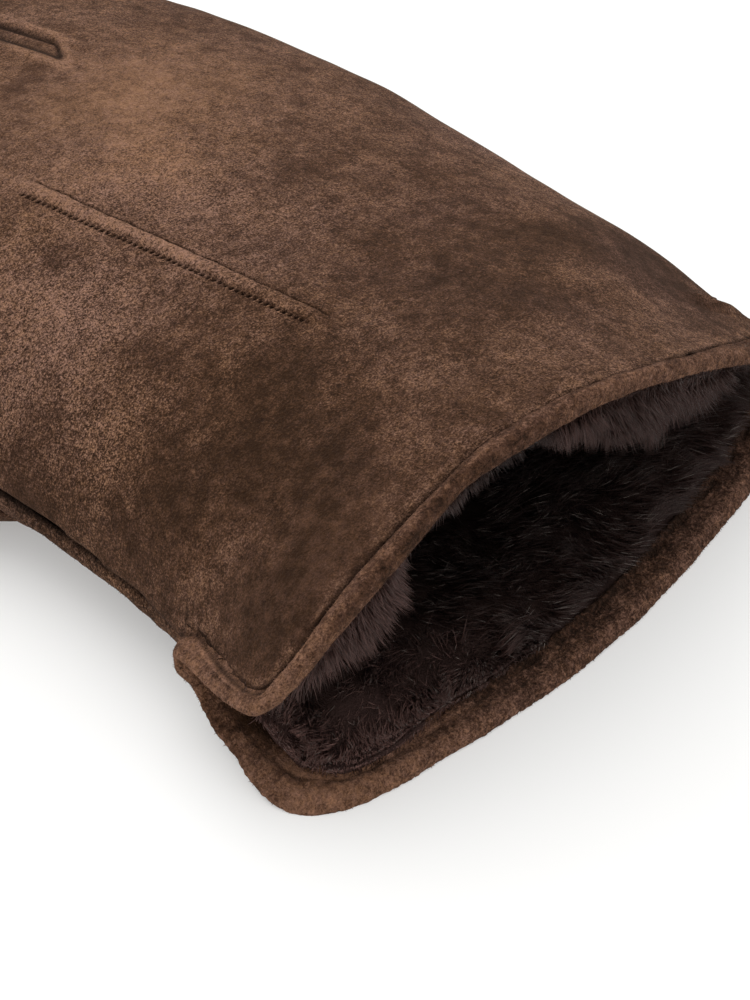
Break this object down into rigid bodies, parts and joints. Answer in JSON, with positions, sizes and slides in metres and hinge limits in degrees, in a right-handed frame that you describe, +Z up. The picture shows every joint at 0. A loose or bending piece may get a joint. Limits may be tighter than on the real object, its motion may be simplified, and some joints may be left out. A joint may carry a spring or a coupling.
{
  "type": "suede glove",
  "caption": "Suede dress glove with a dark fur lining, rolled cuff binding, side vent and stitched tucks on the back, lying palm down.",
  "frame": {"origin": "middle of the glove's outline, on the surface that it lies on", "axes": "+X across the hand from the thumb side to the little finger side, +Y from the cuff to the fingertips, +Z up out of the back of the hand"},
  "size_m": [0.156, 0.2684, 0.0396],
  "materials": {
    "suede": "brown suede with a brushed, mottled nap",
    "binding": "golden brown suede, rolled and fuzzy at the edge",
    "fur": "dark brown to black dense fur with a soft gloss"
  },
  "bodies": {
    "root": {"back_panel": "suede", "palm_panel": "suede", "thumb": "suede", "fourchette_index_middle": "suede", "fourchette_middle_ring": "suede", "fourchette_ring_little": "suede", "cuff_binding": "binding", "fur_lining": "fur"}
  },
  "joints": []
}
